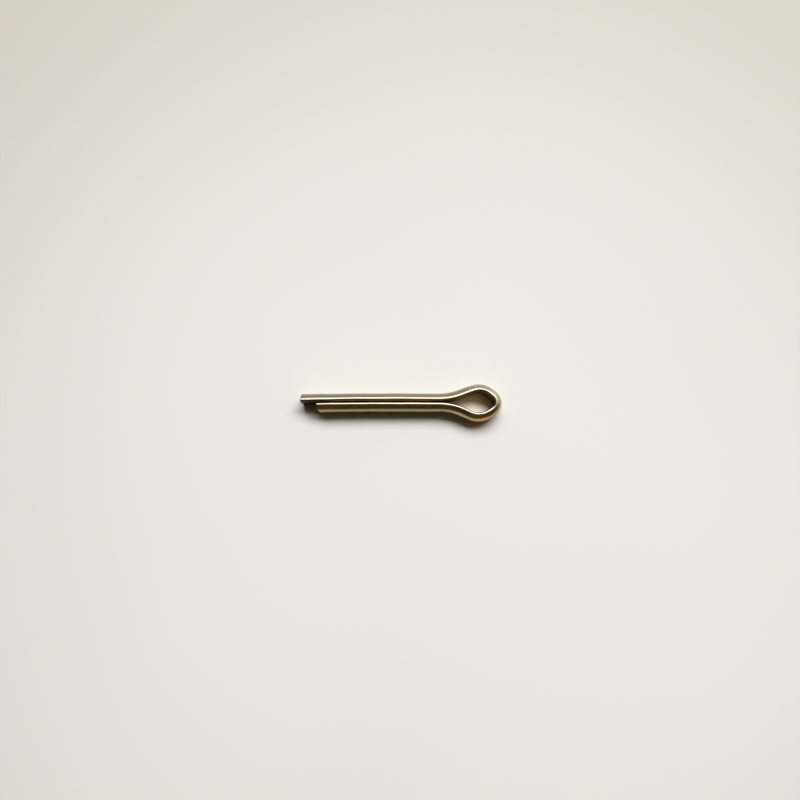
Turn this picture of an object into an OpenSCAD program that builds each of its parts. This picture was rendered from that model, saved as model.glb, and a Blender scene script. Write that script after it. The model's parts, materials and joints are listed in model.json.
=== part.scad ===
/* [Shank] */
// Diameter of the shank, both prongs together
shank_d = 4.5; // [3.7:0.1:5.4]
// How much wider than the shank the hole is that the pin is made for
hole_clearance = 0.5; // [0.1:0.1:1]
// Length from the seat under the eye to the end of the short prong
pin_length = 32; // [18:1:63]
// How much further the long prong reaches
extension = 3.9; // [0:0.1:6]
// Gap between the flat faces of the two prongs
prong_gap = 0.25; // [0.1:0.05:0.5]
// Slant of the sheared ends of the prongs
shear_angle = 5; // [0:0.5:12]

/* [Wire] */
// Radius on the two long edges of the half-round wire
edge_r = 0.5; // [0.25:0.05:0.7]

/* [Neck] */
// Radius of the bend from each prong into the eye, at the flat face
neck_r = 16; // [12:0.5:19.5]
// Slope at which the long prong's side leaves the neck
neck_angle = 21.5; // [17:0.5:24]
// How much steeper the short prong's side leaves it, which makes the eye lean
lean_angle = 5.5; // [0:0.5:6]

/* [Eye] */
// Clear width inside the eye, across its shoulders
eye_w = 5.1; // [4.3:0.1:7]
// Radius inside each shoulder
shoulder_r = 2.8; // [2:0.1:4.5]
// Radius inside the nose, at the far end of the eye
nose_r = 1.3; // [1.2:0.05:2]
// Turn along each leg, from the neck up to the shoulder
leg_turn = 4; // [2:0.5:8]
// Turn of each shoulder past its highest point
shoulder_turn = 29; // [20:0.5:35]
// Turn along each flank, from the shoulder down to the nose
flank_turn = 12; // [8:0.5:18]

/* [Hidden] */
$fn = 96;
zinc = [0.72, 0.69, 0.6];

// Half-round section: u runs outward from the axis of the shank, v upward.
// The flat lies at flat_u, and each edge rounding is centred at edge_u, +/-edge_v.
// It stands proud of the round by a hair, so that the two cross and don't just touch.
shank_r = shank_d / 2;
proud = 0.0005;
flat_u = prong_gap / 2;
edge_u = flat_u + edge_r;
edge_v = sqrt(pow(shank_r - edge_r + proud, 2) - pow(edge_u, 2));
wire_t = shank_r - flat_u;
wire_h = 2 * (edge_v + edge_r);

// Seat, at x = 0: there the outside of the neck is as wide as the hole.
hole_r = (shank_d + hole_clearance) / 2;
neck_outer_r = neck_r - wire_t;
seat_angle = acos((flat_u + neck_r - hole_r) / neck_outer_r);
neck_start = [-neck_outer_r * sin(seat_angle), flat_u];

// The flat of each side is a chain of arcs, told by the slopes where they meet:
// neck from 0 up to a, leg down to a - leg_turn, shoulder to 0 at its crest and on
// to shoulder_end, flank to flank_end, then the nose, centred on the shank's axis.
half_w = eye_w / 2;
shoulder_end = -shoulder_turn;
flank_end = shoulder_end - flank_turn;

// Step along an arc of radius r that turns from slope a down to slope b.
function step(r, a, b) = r * [sin(a) - sin(b), cos(b) - cos(a)];

// The leg's radius makes up the height from the neck to the crest of the shoulder.
function neck_end(a) = neck_start - step(neck_r, 0, a);
function shoulder_step(a) = step(shoulder_r, a - leg_turn, 0);
function leg_rise(a) = half_w - neck_end(a)[1] - shoulder_step(a)[1];
function leg_r(a) = leg_rise(a) / step(1, a, a - leg_turn)[1];
function leg_end(a) = neck_end(a) + step(leg_r(a), a, a - leg_turn);
function crest(a) = leg_end(a) + shoulder_step(a);

// The flank on the long prong's side makes up the height from its shoulder to the
// nose, and so says where the nose lies.
shoulder_unit = step(1, 0, shoulder_end);
flank_unit = step(1, shoulder_end, flank_end);
nose_corner = nose_r * [-sin(flank_end), cos(flank_end)];
long_flank_r = (nose_corner[1] - half_w - shoulder_r * shoulder_unit[1]) / flank_unit[1];
nose_start = crest(neck_angle) + shoulder_r * shoulder_unit + long_flank_r * flank_unit;

// Radii of the shoulder behind its crest and of the flank, which together lead
// from the crest of the side at slope a to the nose.
function cross2(p, q) = p[0] * q[1] - p[1] * q[0];
function rear_r(a) = cross2(nose_start - crest(a), flank_unit) / cross2(shoulder_unit, flank_unit);
function flank_r(a) = cross2(shoulder_unit, nose_start - crest(a)) / cross2(shoulder_unit, flank_unit);

// Places a piece in two moves, a round one and the small rest, so that arcs which
// meet do so to within a millionth of a millimetre.
module at(p) {
    round_p = [for (q = p) round(q * 100) / 100];
    translate(round_p) translate(p - round_p) children();
}

// Section of the half-round wire.
module wire_section() {
    outside = 3 * [edge_u, edge_v];
    intersection() {
        circle(r = shank_r);
        union() {
            polygon([
                [flat_u, -edge_v], [edge_u, -edge_v], [outside[0], -outside[1]], [shank_d, -shank_d],
                [shank_d, shank_d], outside, [edge_u, edge_v], [flat_u, edge_v]
            ]);
            for (v = [-edge_v, edge_v]) translate([edge_u, v]) circle(r = edge_r);
        }
    }
}

// Arc of wire whose flat starts at p with slope a and turns down to slope b.
module bend_down(p, r, a, b) {
    at([p[0] + r * sin(a), p[1] - r * cos(a), 0]) rotate_extrude(start = 90 + b, angle = a - b)
        at([r - flat_u, 0]) wire_section();
}

// Arc of wire whose flat starts level at p and turns up to slope a.
module bend_up(p, r, a) {
    at([p[0], p[1] + r, 0]) rotate_extrude(start = -90, angle = a)
        at([r + flat_u, 0]) mirror([1, 0]) wire_section();
}

// Straight prong that reaches l from the seat, cut off by a shear that leads at the top.
module prong(l) {
    spare = wire_h;
    difference() {
        at([neck_start[0], 0, 0]) mirror([1, 0, 0]) rotate([90, 0, 90])
            linear_extrude(height = l + spare) wire_section();
        translate([-l, 0, wire_h / 2]) rotate([0, -shear_angle, 0])
            translate([-4 * spare, -spare, -2 * spare]) cube(4 * spare);
    }
}

// One side of the pin as far as the nose, with its prong l long and its neck at slope a.
module side(l, a) {
    prong(l);
    bend_up(neck_start, neck_r, a);
    bend_down(neck_end(a), leg_r(a), a, a - leg_turn);
    bend_down(leg_end(a), shoulder_r, a - leg_turn, 0);
    bend_down(crest(a), rear_r(a), 0, shoulder_end);
    bend_down(crest(a) + rear_r(a) * shoulder_unit, flank_r(a), shoulder_end, flank_end);
}

module cotter_pin() {
    color(zinc) {
        side(pin_length + extension, neck_angle);
        mirror([0, 1, 0]) side(pin_length, neck_angle + lean_angle);
        bend_down(nose_start, nose_r, flank_end, -180 - flank_end);
    }
}

cotter_pin();
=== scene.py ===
import json
import math

import bpy
import numpy as np
from mathutils import Matrix, Vector

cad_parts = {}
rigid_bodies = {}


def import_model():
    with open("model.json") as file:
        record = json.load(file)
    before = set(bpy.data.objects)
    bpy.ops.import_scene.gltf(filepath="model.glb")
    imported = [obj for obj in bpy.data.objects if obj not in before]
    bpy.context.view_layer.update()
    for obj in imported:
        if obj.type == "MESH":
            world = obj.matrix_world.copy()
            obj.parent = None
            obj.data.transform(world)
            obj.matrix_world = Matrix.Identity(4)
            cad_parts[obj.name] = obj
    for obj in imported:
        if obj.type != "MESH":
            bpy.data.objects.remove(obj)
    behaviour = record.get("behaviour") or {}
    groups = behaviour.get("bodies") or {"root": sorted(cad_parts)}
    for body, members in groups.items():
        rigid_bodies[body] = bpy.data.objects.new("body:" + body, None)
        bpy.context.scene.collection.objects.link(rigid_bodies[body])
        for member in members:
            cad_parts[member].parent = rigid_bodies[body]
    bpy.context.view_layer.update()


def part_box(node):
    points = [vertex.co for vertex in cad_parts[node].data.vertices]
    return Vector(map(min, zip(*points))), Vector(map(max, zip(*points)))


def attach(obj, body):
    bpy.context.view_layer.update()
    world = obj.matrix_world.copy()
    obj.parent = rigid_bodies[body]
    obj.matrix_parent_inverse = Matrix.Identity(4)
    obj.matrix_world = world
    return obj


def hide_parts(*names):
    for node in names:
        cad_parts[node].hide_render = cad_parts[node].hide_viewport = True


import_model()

MM = 0.001

# ---------------------------------------------------------------- sizes, in millimetres and degrees
SHANK_R = 2.25
FLAT_U = 0.125  # half the gap between the prongs
EDGE_R = 0.5
PIN_LENGTH = 32.0  # from the seat under the eye to the short prong's end
EXTENSION = 3.9  # how far the long prong reaches past the short one
HOLE_R = 2.5

# Each side of the eye is a chain of arcs: neck, leg, shoulder, flank and half of the nose.
NECK_R = 16.0
NECK_ANGLE = 21.5
LEAN = 5.5  # how much steeper the short prong's side leaves its neck
LEG_TURN = 4.0
SHOULDER_R = 2.8
SHOULDER_TURN = 29.0
FLANK_TURN = 12.0
NOSE_R = 1.3
EYE_HALF = 2.54  # half the eye's clear width

EDGE_U = FLAT_U + EDGE_R
EDGE_V = math.sqrt((SHANK_R - EDGE_R) ** 2 - EDGE_U ** 2)
WIRE_T = SHANK_R - FLAT_U  # thickness, from the flat to the crown
WIRE_TOP = EDGE_V + EDGE_R  # half of the height
# The neck starts where its outside will have grown as wide as the hole by x = 0.
SEAT_ANGLE = math.acos((FLAT_U + NECK_R - HOLE_R) / (NECK_R - WIRE_T))
NECK_X = -(NECK_R - WIRE_T) * math.sin(SEAT_ANGLE)

# How the real wire differs from the plain path.
BEND_SMOOTHING = 0.45  # the joints between the arcs are eased over about this length
THINNING = 0.06  # how much thinner the wire gets round the eye, times the curvature there
SHORT_SPREAD = 0.04  # how much thicker the wire is in the short prong
SHORT_FROM, SHORT_EASE = 60.0, 6.0  # where along the wire that starts, and over what length
TIP_SPREAD = 0.05  # how much thicker the long prong's end is
TIP_DROOP = 0.10  # how far it is bent sideways
TIP_REACH = 12.0  # over this last length
DROOP = 0.28  # how far both prongs bend sideways by the short one's end
DROOP_FROM = -8.0  # the x at which that starts
UNEVENNESS = ((0.010, 11.0, 0.4), (0.006, 4.7, 2.0))  # waves, as (height, length, phase)
UNEVEN_EASE = 6.0  # they grow in over this length from the neck

# The sheared ends: the slant of the cut, and how far the blade dragged the crown back.
LONG_END = (math.tan(math.radians(3)), 0.15)
SHORT_END = (math.tan(math.radians(8)), 0.50)
DRAG_FROM = 0.5  # share of the wire's thickness where the drag starts
SLANT_REACH = 3.0  # how far up the prong the cut still shifts the rings
RIM_LOW, RIM_HIGH = 0.03, 0.08  # the rim's rounding at the bottom and at the top
CAP_INSET = 0.15  # the end face's rings shrink from an outline this far inside the wire's
CAP_MIDDLE = 0.42 * WIRE_T  # the thickness at which they close
CAP_RINGS = 9
TORN_FROM, TORN_EASE = 0.35, 0.4  # the face is torn below this share of the half height
TORN_DEPTH, TORN_ROUGHNESS = 0.05, 0.035
# Two crossing sets of ridges: their direction as (thickness, height), and their waves.
TEARS = (
    ((1.7, 1.0), ((0.5, 0.83, 0.3), (0.3, 0.37, 1.1))),
    ((-0.6, 1.0), ((0.6, 0.71, 0.9), (0.4, 0.29, 2.2))),
)

# Fineness of the mesh.
PATH_STEP = 0.02
RING_STEP = 0.24
END_ZONE = 1.0
END_STATIONS = [0, 0.012, 0.03, 0.055, 0.09, 0.13, 0.18, 0.25, 0.35, 0.48, 0.63, 0.8]
FLAT_POINTS, EDGE_POINTS, CROWN_POINTS = 10, 12, 30

# Colours of the plating, and where they lie along the wire and through its thickness from the flat.
FAR_SIDE = 50.0  # how far along the wire the side turned from the light begins
FAR_SIDE_EASE = 3.0
# The far side's plating is darker and more olive: painted shade on the side turned from the light.
NEAR_PLATING, FAR_SHADED_PLATING = (0.35, 0.32, 0.265), (0.305, 0.27, 0.14)
NEAR_EDGE, FAR_EDGE = (0.275, 0.245, 0.20), (0.335, 0.305, 0.255)
# Painted shade on the prongs' flats, darkest at the long prong's end.
SHADED_PRONG_FLAT, SHADED_TIP_FLAT = (0.28, 0.21, 0.11), (0.06, 0.04, 0.02)
# Inside the eye: dark brown painted shade on the walls, and bright yellow painted light on the short
# side's wall where it faces the light.
SHADED_WALL, LIT_WALL = (0.15, 0.105, 0.05), (0.68, 0.475, 0.175)

# Stretches along the wire, each easing from the first length to the second.
EYE_IN, EYE_OUT = (29, 33), (67, 63)
# Where the painted light on the short side's wall lies.
LIT_WALL_IN, LIT_WALL_OUT = (49, 54), (59.5, 55.5)
# Where the flats' painted shade deepens towards the long prong's end, and where it creeps over the edge,
# and how far.
TIP_DARK = (10, 4)
TIP_SHADE_CREEP, SHADE_CREEP_DEPTH = (10, 5), 0.22

# Spots are placed by (where along the wire, reach) and (where through its thickness, reach).
# A painted highlight on the edge at the nose, and a dark spot there that breaks that highlight.
NOSE_HIGHLIGHT = ((0.52, 0.49, 0.42), (48.0, 3.5), (EDGE_R, 0.4))
NOSE_DARK_SPOT = ((0.10, 0.085, 0.065), (49.0, 0.8), (0.25, 0.5))

# Tints of the passivation: colour, strength and place.
TINTS = (
    ((0.36, 0.35, 0.17), 0.8, (37.8, 3.0), (1.5, 1.0)),  # olive over the upper neck
    ((0.50, 0.46, 0.395), 0.9, (43.0, 3.2), (1.6, 1.4)),  # pale grey, then yellow, round the nose
    ((0.55, 0.51, 0.37), 1.0, (46.8, 3.2), (1.5, 1.4)),
    ((0.46, 0.33, 0.20), 0.9, (49.5, 1.4), (1.7, 1.2)),  # tan, then brown, under it
    ((0.38, 0.21, 0.11), 0.9, (50.8, 1.7), (1.4, 1.4)),
    ((0.56, 0.32, 0.13), 1.0, (53.2, 2.4), (1.8, 0.7)),  # orange under the eye, with a red spot
    ((0.90, 0.26, 0.16), 1.0, (52.5, 1.4), (1.25, 0.6)),
    ((0.48, 0.47, 0.34), 0.8, (54.0, 1.8), (1.0, 0.7)),  # grey-green beside it, then dark green
    ((0.17, 0.20, 0.10), 0.8, (56.8, 2.4), (1.1, 0.7)),
    ((0.46, 0.37, 0.29), 0.9, (57.5, 3.0), (1.9, 0.6)),  # pinkish grey below that
    ((0.60, 0.31, 0.07), 1.0, (90.0, 3.4), (1.3, 0.7)),  # orange-brown near the short prong's end
)

# The camera. Its place is in millimetres. It turns from +Y towards +X, then up, then anticlockwise.
CAMERA_AT = (-16.00, -21.20, 128.06)
AZIMUTH, ELEVATION, ROLL = 10.45, -80.11, 10.64
LENS, SENSOR = 23.947, 36.0
IMAGE_SIDE = 800
SHIFT_UP = -0.5  # how far the view is shifted up, in pixels
FLOOR_HALF = 1500.0


# ---------------------------------------------------------------- path of the wire's flat face
def turn(r, a, b):
    """Step along an arc that turns right from slope a down to slope b, in radians."""
    return np.array([r * (math.sin(a) - math.sin(b)), r * (math.cos(b) - math.cos(a))])


def side_radii(neck_angle, nose_at=None):
    """The leg's, rear shoulder's and flank's radii on one side, and where the nose starts.

    The first side is built freely, and where its nose starts is given to the second.
    """
    at_neck = math.radians(neck_angle)
    at_leg = math.radians(neck_angle - LEG_TURN)
    at_shoulder = -math.radians(SHOULDER_TURN)
    at_flank = at_shoulder - math.radians(FLANK_TURN)
    neck = np.array([NECK_X, FLAT_U]) - turn(NECK_R, 0, at_neck)
    front = turn(SHOULDER_R, at_leg, 0)
    leg = turn(1, at_neck, at_leg)
    leg_r = (EYE_HALF - neck[1] - front[1]) / leg[1]
    crest = neck + leg_r * leg + front
    shoulder, flank = turn(1, 0, at_shoulder), turn(1, at_shoulder, at_flank)
    if nose_at is None:
        flank_r = (NOSE_R * math.cos(at_flank) - EYE_HALF - SHOULDER_R * shoulder[1]) / flank[1]
        return leg_r, SHOULDER_R, flank_r, crest + SHOULDER_R * shoulder + flank_r * flank
    rear_r, flank_r = np.linalg.solve(np.stack([shoulder, flank], 1), nose_at - crest)
    return leg_r, rear_r, flank_r, nose_at


def smooth(values, sigma, step):
    """Gaussian blur of evenly spaced values that keeps their ends."""
    n = int(round(4 * sigma / step))
    kernel = np.exp(-0.5 * (np.arange(-n, n + 1) * step / sigma) ** 2)
    return np.convolve(np.pad(values, n, mode="edge"), kernel / kernel.sum(), "valid")


def ease(x):
    """0 below 0, 1 above 1, and a smooth step between."""
    x = np.clip(x, 0, 1)
    return x * x * (3 - 2 * x)


def wave(x, parts):
    """A sum of sine waves, each given as (height, length, phase)."""
    return sum(height * np.sin(2 * math.pi * x / length + phase) for height, length, phase in parts)


def wire_path():
    """Length, place, slope and curvature along the flat, from the long prong's end to the short one's."""
    leg_long, rear_long, flank_long, nose_at = side_radii(NECK_ANGLE)
    leg_short, rear_short, flank_short, _ = side_radii(NECK_ANGLE + LEAN, nose_at)
    short_angle = NECK_ANGLE + LEAN
    nose_slope = -SHOULDER_TURN - FLANK_TURN
    back = -180.0
    # Each arc is (radius, slope at its end), after a first straight prong at slope 0.
    arcs = [
        (NECK_R, NECK_ANGLE),
        (leg_long, NECK_ANGLE - LEG_TURN),
        (SHOULDER_R, 0),
        (rear_long, -SHOULDER_TURN),
        (flank_long, nose_slope),
        (NOSE_R, back - nose_slope),
        (flank_short, back + SHOULDER_TURN),
        (rear_short, back),
        (SHOULDER_R, back - short_angle + LEG_TURN),
        (leg_short, back - short_angle),
        (NECK_R, back),
    ]
    ends, slopes = [0, PIN_LENGTH + EXTENSION + NECK_X], [0, 0]
    for r, slope_at_end in arcs:
        ends.append(ends[-1] + abs(r * math.radians(slope_at_end - slopes[-1])))
        slopes.append(slope_at_end)
    ends.append(ends[-1] + PIN_LENGTH + NECK_X)
    slopes.append(back)
    s = np.arange(0, ends[-1] + PATH_STEP / 2, PATH_STEP)
    slope = smooth(np.radians(np.interp(s, ends, slopes)), BEND_SMOOTHING, PATH_STEP)
    bend = smooth(-np.gradient(slope, s), 2 * BEND_SMOOTHING, PATH_STEP)
    place = np.cumsum(np.stack([np.cos(slope), np.sin(slope)], 1) * PATH_STEP, axis=0)
    middle = int(np.argmin(abs(slope + math.pi / 2)))
    nose_x = nose_at[0] + NOSE_R * (1 - math.sin(math.radians(-nose_slope)))
    place += np.array([nose_x, 0]) - place[middle]
    # The smoothing moved both prongs a little. That is taken back along the legs and the prongs. The
    # last sample is left out, so the short prong's end lies 0.06 mm to the side and 0.02 mm short.
    legs_until, prongs_over = 8, 20
    last = len(s) - 1
    for tip, part, side in ((0, slice(0, middle), 1), (last, slice(middle, last), -1)):
        x = place[part, 0]
        place[part, 1] += (side * FLAT_U - place[tip, 1]) * ease((legs_until - x) / legs_until)
        length = PIN_LENGTH + (EXTENSION if side > 0 else 0)
        place[part, 0] += (-length - place[tip, 0]) * ease((NECK_X - x) / prongs_over)
    return s, place, slope, bend


# ---------------------------------------------------------------- the half-round wire
def section():
    """Points round the section as (thickness from the flat, height), and their outward normals."""
    crown_until = math.atan2(EDGE_V, EDGE_U)
    points, normals = [], []

    def arc(u, v, r, a, b, n):
        for t in np.linspace(a, b, n, endpoint=False):
            points.append((u + r * math.cos(t), v + r * math.sin(t)))
            normals.append((math.cos(t), math.sin(t)))

    for v in np.linspace(EDGE_V, -EDGE_V, FLAT_POINTS, endpoint=False)[1:]:
        points.append((0.0, v))
        normals.append((-1.0, 0.0))
    arc(EDGE_R, -EDGE_V, EDGE_R, -math.pi, -crown_until, EDGE_POINTS)
    arc(-FLAT_U, 0, SHANK_R, -crown_until, crown_until, CROWN_POINTS)
    arc(EDGE_R, EDGE_V, EDGE_R, crown_until, math.pi, EDGE_POINTS)
    points.append((0.0, EDGE_V))
    normals.append((-1.0, 0.0))
    return np.array(points), np.array(normals)


def cut_back(u, v, end):
    """How far behind its foremost point a sheared end lies, at thickness u and height v."""
    slant, drag = end
    crown = np.clip((u / WIRE_T - DRAG_FROM) / (1 - DRAG_FROM), 0, None)
    return (WIRE_TOP - v) * slant + drag * crown ** 2


def wire_rings(path, stations, outline, outward):
    """The points of each ring along the wire, and each ring's place on the flat's middle line."""
    s, place, slope, bend = path
    x, y, angle, curve = (np.interp(stations, s, values) for values in (*place.T, slope, bend))
    at_tip = ease(1 - stations / TIP_REACH)
    thick = 1 - THINNING * np.clip(curve, 0, None)
    thick += SHORT_SPREAD * ease((stations - SHORT_FROM) / SHORT_EASE) + TIP_SPREAD * at_tip
    # The prongs bend a little to one side, and neither is quite even.
    y -= DROOP * (np.clip(DROOP_FROM - x, 0, None) / (DROOP_FROM + PIN_LENGTH)) ** 2
    y -= TIP_DROOP * at_tip
    y += ease((NECK_X - x) / UNEVEN_EASE) * wave(stations, UNEVENNESS)

    rim = RIM_LOW + (RIM_HIGH - RIM_LOW) * (outline[:, 1] / WIRE_TOP + 1) / 2
    rings = []
    for i, at in enumerate(stations):
        to_end = min(at, s[-1] - at)
        inset = rim - np.sqrt(rim ** 2 - np.clip(rim - to_end, 0, None) ** 2)
        u, v = (outline - outward * inset[:, None]).T
        end = LONG_END if at < s[-1] / 2 else SHORT_END
        back = cut_back(outline[:, 0], outline[:, 1], end) * (1 - ease(to_end / SLANT_REACH))
        across = u * thick[i]
        ring_x = x[i] - math.sin(angle[i]) * across + back
        ring_y = y[i] + math.cos(angle[i]) * across
        rings.append(np.stack([ring_x, ring_y, v], 1))
    return rings, np.stack([x, y], 1)


def end_face(centre, side, end, outline, outward):
    """Rings that close a sheared end, as (points, thickness and height). The last is one point."""
    rim = outline - outward * CAP_INSET
    rings = []
    for k in range(1, CAP_RINGS + 1):
        share = 1 - k / CAP_RINGS
        u = CAP_MIDDLE + (rim[:, 0] - CAP_MIDDLE) * share
        v = rim[:, 1] * share
        # Smooth where the blade went in, at the top, and torn below that, but not at the rim.
        torn = ease((TORN_FROM - v / WIRE_TOP) / TORN_EASE)
        ridges, crossing = (wave(a * u + b * v, waves) for (a, b), waves in TEARS)
        back = cut_back(u, v, end)
        back += torn * (TORN_DEPTH + TORN_ROUGHNESS * ridges * crossing) * (1 - share ** 4)
        count = len(u) if k < CAP_RINGS else 1
        points = np.stack([centre[0] + back, centre[1] + side * u, v], 1)
        rings.append((points[:count], np.stack([u, v], 1)[:count]))
    return rings


def add_object(name, data):
    thing = bpy.data.objects.new(name, data)
    bpy.context.collection.objects.link(thing)
    return thing


def build_wire():
    """The whole pin as one mesh, with the wire's own coordinates and its sheared faces as attributes."""
    outline, outward = section()
    n = len(outline)
    path = wire_path()
    total = path[0][-1]
    inner = np.linspace(END_ZONE, total - END_ZONE, int((total - 2 * END_ZONE) / RING_STEP))
    stations = np.concatenate([END_STATIONS, inner, total - np.array(END_STATIONS[::-1])])
    rings, centres = wire_rings(path, stations, outline, outward)

    verts = list(np.concatenate(rings))
    wire = [(at, u, v) for at in stations for u, v in outline]
    sheared = [0.0] * len(verts)
    faces = []
    for a in range(0, (len(stations) - 1) * n, n):
        for j in range(n):
            k = (j + 1) % n
            faces.append((a + j, a + k, a + n + k, a + n + j))
    for i, at, side, end in ((0, 0.0, 1, LONG_END), (len(stations) - 1, total, -1, SHORT_END)):
        before = i * n
        for points, coords in end_face(centres[i], side, end, outline, outward):
            first = len(verts)
            verts.extend(points)
            wire.extend((at, u, v) for u, v in coords)
            sheared.extend([1.0] * len(points))
            for j in range(n):
                k = (j + 1) % n
                inner_edge = (first + k, first + j) if len(points) > 1 else (first,)
                face = (before + j, before + k, *inner_edge)
                faces.append(face[::-1] if side > 0 else face)
            before = first

    mesh = bpy.data.meshes.new("split_pin")
    mesh.from_pydata([tuple(v * MM) for v in verts], [], faces)
    mesh.update()
    coordinates = mesh.attributes.new("wire", "FLOAT_VECTOR", "POINT")
    coordinates.data.foreach_set("vector", np.array(wire, dtype=np.float32).ravel())
    mesh.attributes.new("sheared", "FLOAT", "POINT").data.foreach_set("value", sheared)
    mesh.shade_smooth()
    return add_object("split_pin", mesh)


# ---------------------------------------------------------------- materials
class Nodes:
    """Makes the nodes of one tree and links them."""

    def __init__(self, tree):
        self.tree = tree

    def add(self, kind, **settings):
        node = self.tree.nodes.new("ShaderNode" + kind)
        for key, value in settings.items():
            setattr(node, key, value)
        return node

    def put(self, socket, value):
        """Links the value to the socket if it is a socket too, and writes it there otherwise."""
        if isinstance(value, bpy.types.NodeSocket):
            self.tree.links.new(value, socket)
        elif value is not None:
            socket.default_value = value

    def math(self, operation, a, b=None, c=None):
        node = self.add("Math", operation=operation)
        for socket, value in zip(node.inputs, (a, b, c)):
            self.put(socket, value)
        return node.outputs[0]

    def times(self, a, b):
        return self.math("MULTIPLY", a, b)

    def distance(self, value, centre):
        return self.math("ABSOLUTE", self.math("SUBTRACT", value, centre))

    def near(self, value, centre, width):
        """1 at the centre, easing to 0 a width away."""
        return self.ramp(self.distance(value, centre), 0.0, width, 1.0, 0.0)

    def vector(self, operation, a, b, output="Vector"):
        node = self.add("VectorMath", operation=operation)
        self.put(node.inputs[0], a)
        self.put(node.inputs[1], b)
        return node.outputs[output]

    def noise(self, vector, scale, detail=3.0, roughness=0.5, distortion=0.0):
        node = self.add("TexNoise")
        self.put(node.inputs["Vector"], vector)
        node.inputs["Scale"].default_value = scale
        node.inputs["Detail"].default_value = detail
        node.inputs["Roughness"].default_value = roughness
        node.inputs["Distortion"].default_value = distortion
        return node.outputs[0]

    def ramp(self, factor, low, high, out_low=0.0, out_high=1.0):
        """out_low to out_high, eased, as the factor goes from low to high."""
        node = self.add("MapRange", clamp=True, interpolation_type="SMOOTHSTEP")
        for socket, value in zip(node.inputs, (factor, low, high, out_low, out_high)):
            self.put(socket, value)
        return node.outputs[0]

    def mix(self, factor, a, b):
        """Colour a where the factor is 0, and colour b where it is 1."""
        node = self.add("Mix", data_type="RGBA")
        factor_in, a_in, b_in = node.inputs[0], node.inputs[6], node.inputs[7]
        self.put(factor_in, factor)
        for socket, value in ((a_in, a), (b_in, b)):
            self.put(socket, (*value, 1) if isinstance(value, tuple) else value)
        return node.outputs[2]

    def tint(self, colour, place, strength, tint):
        return self.mix(self.times(place, strength), colour, tint)

    def bump(self, height, strength, distance, normal=None):
        node = self.add("Bump")
        node.inputs["Strength"].default_value = strength
        node.inputs["Distance"].default_value = distance
        self.put(node.inputs["Height"], height)
        self.put(node.inputs["Normal"], normal)
        return node.outputs[0]


def new_material(name):
    """An empty material, its nodes and the inputs of its shader."""
    material = bpy.data.materials.new(name)
    material.use_nodes = True
    tree = material.node_tree
    return material, Nodes(tree), tree.nodes["Principled BSDF"].inputs


def spot(m, along, out, place, depth):
    """1 at a spot's middle, easing to 0 at its reach."""
    return m.times(m.near(along, *place), m.near(out, *depth))


def round_side(m, along, out, patches, streaks, far_side):
    """Colour of the wire's round side, up to the edges of its flat, with painted shade on the side turned
    from the light and a painted highlight at the nose.
    """
    # Painted shade: a darker, more olive plating on the side turned from the light.
    colour = m.mix(far_side, NEAR_PLATING, FAR_SHADED_PLATING)
    colour = m.tint(colour, m.ramp(patches, 0.50, 0.72), 0.40, (0.31, 0.28, 0.13))
    colour = m.tint(colour, m.ramp(streaks, 0.52, 0.68), 0.45, (0.38, 0.27, 0.15))
    colour = m.tint(colour, m.ramp(streaks, 0.47, 0.32), 0.40, (0.26, 0.275, 0.19))
    # The streaks move the edges of the tints a little to and fro.
    wander = m.math("SUBTRACT", streaks, 0.5)
    moved_along = m.math("MULTIPLY_ADD", wander, 3.0, along)
    moved_out = m.math("MULTIPLY_ADD", wander, 0.8, out)
    for tint, strength, place, depth in TINTS:
        colour = m.tint(colour, spot(m, moved_along, moved_out, place, depth), strength, tint)
    # The rounded edges, with a painted highlight at the nose and a dark spot there that breaks that
    # highlight.
    edge = m.ramp(m.distance(out, EDGE_R), 0.45, 0.15)
    colour = m.mix(edge, colour, m.mix(far_side, NEAR_EDGE, FAR_EDGE))
    for spot_colour, place, depth in (NOSE_HIGHLIGHT, NOSE_DARK_SPOT):
        colour = m.mix(spot(m, along, out, place, depth), colour, spot_colour)
    return colour


def flat_side(m, along):
    """Colour of the wire's flat: painted shade on the prongs, darker towards the long prong's end, and
    inside the eye dark brown painted shade on the walls, with bright yellow painted light on part of the
    short side's wall, which faces the light.
    """
    lit_share = m.times(m.ramp(along, *LIT_WALL_IN), m.ramp(along, *LIT_WALL_OUT))
    in_eye = m.times(m.ramp(along, *EYE_IN), m.ramp(along, *EYE_OUT))
    prong = m.mix(m.ramp(along, *TIP_DARK), SHADED_PRONG_FLAT, SHADED_TIP_FLAT)
    # Painted shade on the prongs' flats and on the eye's walls, and painted light on part of the short
    # side's wall.
    return m.mix(in_eye, prong, m.mix(lit_share, SHADED_WALL, LIT_WALL))


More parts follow.
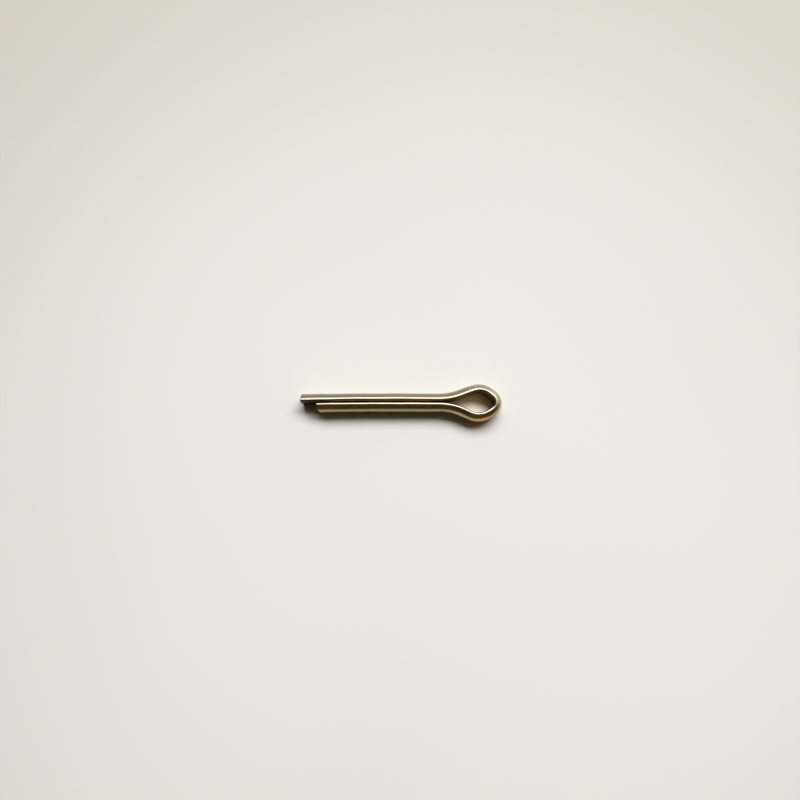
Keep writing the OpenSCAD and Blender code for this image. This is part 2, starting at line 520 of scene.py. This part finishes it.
def zinc_material():
    """Zinc-plated steel, tinted, with painted shade and a painted highlight, and bare steel at the sheared
    ends.
    """
    material, m, shader = new_material("zinc_plated_steel")
    wire = m.add("Attribute", attribute_name="wire").outputs["Vector"]
    sheared = m.add("Attribute", attribute_name="sheared").outputs["Fac"]
    parts = m.add("SeparateXYZ")
    m.put(parts.inputs[0], wire)
    along, out = parts.outputs[0], parts.outputs[1]
    far_side = m.ramp(along, FAR_SIDE - FAR_SIDE_EASE, FAR_SIDE + FAR_SIDE_EASE)

    def stretched(scales, detail, roughness=0.5, distortion=0.0):
        return m.noise(m.vector("MULTIPLY", wire, scales), 1.0, detail, roughness, distortion)

    # Lines left by drawing the wire, and patches of passivation stretched along it.
    lines = stretched((0.10, 9.0, 9.0), 4.0, 0.6)
    hairs = stretched((0.35, 34.0, 34.0), 3.0, 0.6)
    patches = stretched((0.16, 0.55, 0.75), 2.0, distortion=0.6)
    streaks = stretched((0.30, 2.2, 2.2), 3.0, distortion=0.4)
    grain = m.noise(wire, 14.0, 3.0, 0.6)

    colour = round_side(m, along, out, patches, streaks, far_side)
    # Near the long prong's end the flat's painted shade creeps over the edge.
    shade_creep = m.ramp(along, *TIP_SHADE_CREEP, 0.0, SHADE_CREEP_DEPTH)
    on_flat = m.ramp(m.math("SUBTRACT", out, shade_creep), 0.20, 0.05)
    colour = m.mix(on_flat, colour, flat_side(m, along))
    colour = m.tint(colour, m.ramp(lines, 0.45, 0.62), 0.12, (0.46, 0.43, 0.36))
    bare = m.mix(m.ramp(grain, 0.35, 0.65), (0.40, 0.37, 0.32), (0.52, 0.48, 0.42))
    m.put(shader["Base Color"], m.mix(sheared, colour, bare))
    shader["Metallic"].default_value = 1.0

    rough = m.math("ADD", m.ramp(patches, 0.35, 0.65, 0.26, 0.31), m.ramp(hairs, 0.35, 0.65, 0.0, 0.05))
    far_crown = m.times(far_side, m.ramp(out, 0.8, 1.2))
    rough = m.math("MULTIPLY_ADD", far_crown, -0.11, rough)
    rough = m.math("ADD", rough, m.times(sheared, 0.25))
    m.put(shader["Roughness"], rough)

    normal = m.bump(grain, 0.5, 0.0012 * MM)
    normal = m.bump(hairs, 0.5, 0.0015 * MM, normal)
    normal = m.bump(lines, 0.6, 0.006 * MM, normal)
    m.put(shader["Normal"], normal)
    return material


def paper_material():
    """Plain pale paper, with painted shade that darkens it far from the pin."""
    material, m, shader = new_material("plain_paper")
    place = m.add("TexCoord").outputs["Object"]
    tone = m.noise(place, 9.0, 2.0)
    fibre = m.noise(place, 1400.0, 3.0, 0.6)
    colour = m.mix(m.ramp(tone, 0.3, 0.7), (0.865, 0.875, 0.875), (0.885, 0.895, 0.895))
    # Painted shade: the paper darkens with distance from a point 50 mm on the pin's -Y side.
    from_bright_spot = m.vector("DISTANCE", place, (0.0, -0.050, -0.002), "Value")
    m.put(shader["Base Color"], m.mix(m.ramp(from_bright_spot, 0.05, 0.22), colour, (0.64, 0.615, 0.60)))
    m.put(shader["Normal"], m.bump(fibre, 0.3, 0.02 * MM))
    shader["Roughness"].default_value = 0.7
    shader["Specular IOR Level"].default_value = 0.1
    return material


# ---------------------------------------------------------------- stage, light and camera
def add_floor():
    """A pale sheet under the pin."""
    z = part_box("cotter_pin")[0][2]
    half = FLOOR_HALF * MM
    corners = [(x * half, y * half, z) for x, y in ((-1, -1), (1, -1), (1, 1), (-1, 1))]
    mesh = bpy.data.meshes.new("floor")
    mesh.from_pydata(corners, [], [(0, 1, 2, 3)])
    mesh.materials.append(paper_material())
    return add_object("floor", mesh)


def direction(elevation, azimuth):
    """Unit vector at an elevation above the floor and an azimuth from +Y towards +X, in degrees."""
    e, a = math.radians(elevation), math.radians(azimuth)
    return Vector((math.sin(a) * math.cos(e), math.cos(a) * math.cos(e), math.sin(e)))


def softbox(name, toward, distance, size, radiance, colour):
    """An elliptical lamp that faces the object, with its distance and size in metres."""
    lamp = bpy.data.lights.new(name, "AREA")
    lamp.shape = "ELLIPSE"
    lamp.size, lamp.size_y = size
    area = math.pi / 4 * size[0] * size[1]
    lamp.energy = math.pi * radiance * area
    lamp.color = colour
    thing = add_object(name, lamp)
    thing.location = toward * distance
    thing.rotation_mode = "QUATERNION"
    thing.rotation_quaternion = toward.to_track_quat("Z", "Y")


def light_room():
    """A dim room behind the camera and a lit one beyond the pin."""
    world = bpy.data.worlds.new("studio")
    bpy.context.scene.world = world
    world.use_nodes = True
    m = Nodes(world.node_tree)
    towards = m.add("TexCoord").outputs["Generated"]
    rays = m.add("LightPath").outputs

    def facing(where, low, high):
        """0 to 1 as the cosine of the angle from a direction goes from low to high."""
        return m.ramp(m.vector("DOT_PRODUCT", towards, where, "Value"), low, high)

    lit = (0.37, 0.29, 0.19)
    lit_side = facing(direction(0, 15), -0.1, 0.6)
    room = m.mix(lit_side, (0.020, 0.011, 0.004), lit)
    # The metal mirrors a less dim room, and in it a pale wall and a high window to the right.
    mirrored = m.mix(lit_side, (0.11, 0.077, 0.027), lit)
    mirrored = m.mix(facing(direction(8, 60), 0.72, 0.95), mirrored, (0.95, 0.92, 0.80))
    mirrored = m.mix(facing(direction(70, 58), 0.96, 0.99), mirrored, (1.6, 1.55, 1.4))
    room = m.mix(rays["Is Glossy Ray"], room, mirrored)
    # The camera itself sees a pale backdrop past the floor.
    room = m.mix(rays["Is Camera Ray"], room, (0.87, 0.855, 0.835))
    m.put(world.node_tree.nodes["Background"].inputs["Color"], room)


def add_camera():
    forward = direction(ELEVATION, AZIMUTH)
    level = forward.cross(Vector((0, 0, 1))).normalized()
    above = level.cross(forward)
    roll = math.radians(ROLL)
    right = level * math.cos(roll) + above * math.sin(roll)
    up = above * math.cos(roll) - level * math.sin(roll)
    data = bpy.data.cameras.new("camera")
    data.sensor_width = SENSOR
    data.lens = LENS
    data.shift_y = SHIFT_UP / IMAGE_SIDE
    data.clip_start, data.clip_end = 0.005, 10.0
    camera = add_object("camera", data)
    turned = Matrix((right, up, -forward)).transposed()
    camera.matrix_world = Matrix.Translation([c * MM for c in CAMERA_AT]) @ turned.to_4x4()
    return camera


# ---------------------------------------------------------------- the object on its stage
# A plain start of Blender has a cube, a light and a camera in the scene.
for thing in list(bpy.data.objects):
    if thing.name == "Cube" or thing.type in ("LIGHT", "CAMERA"):
        bpy.data.objects.remove(thing)

pin = build_wire()
pin.data.materials.append(zinc_material())
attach(pin, "root")
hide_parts("cotter_pin")

floor = add_floor()
softbox("key", direction(50, 15), distance=1.6, size=(2.0, 0.76), radiance=9.0, colour=(1.0, 0.985, 0.955))
light_room()
bpy.context.scene.camera = add_camera()
bpy.context.scene.view_settings.view_transform = "Standard"
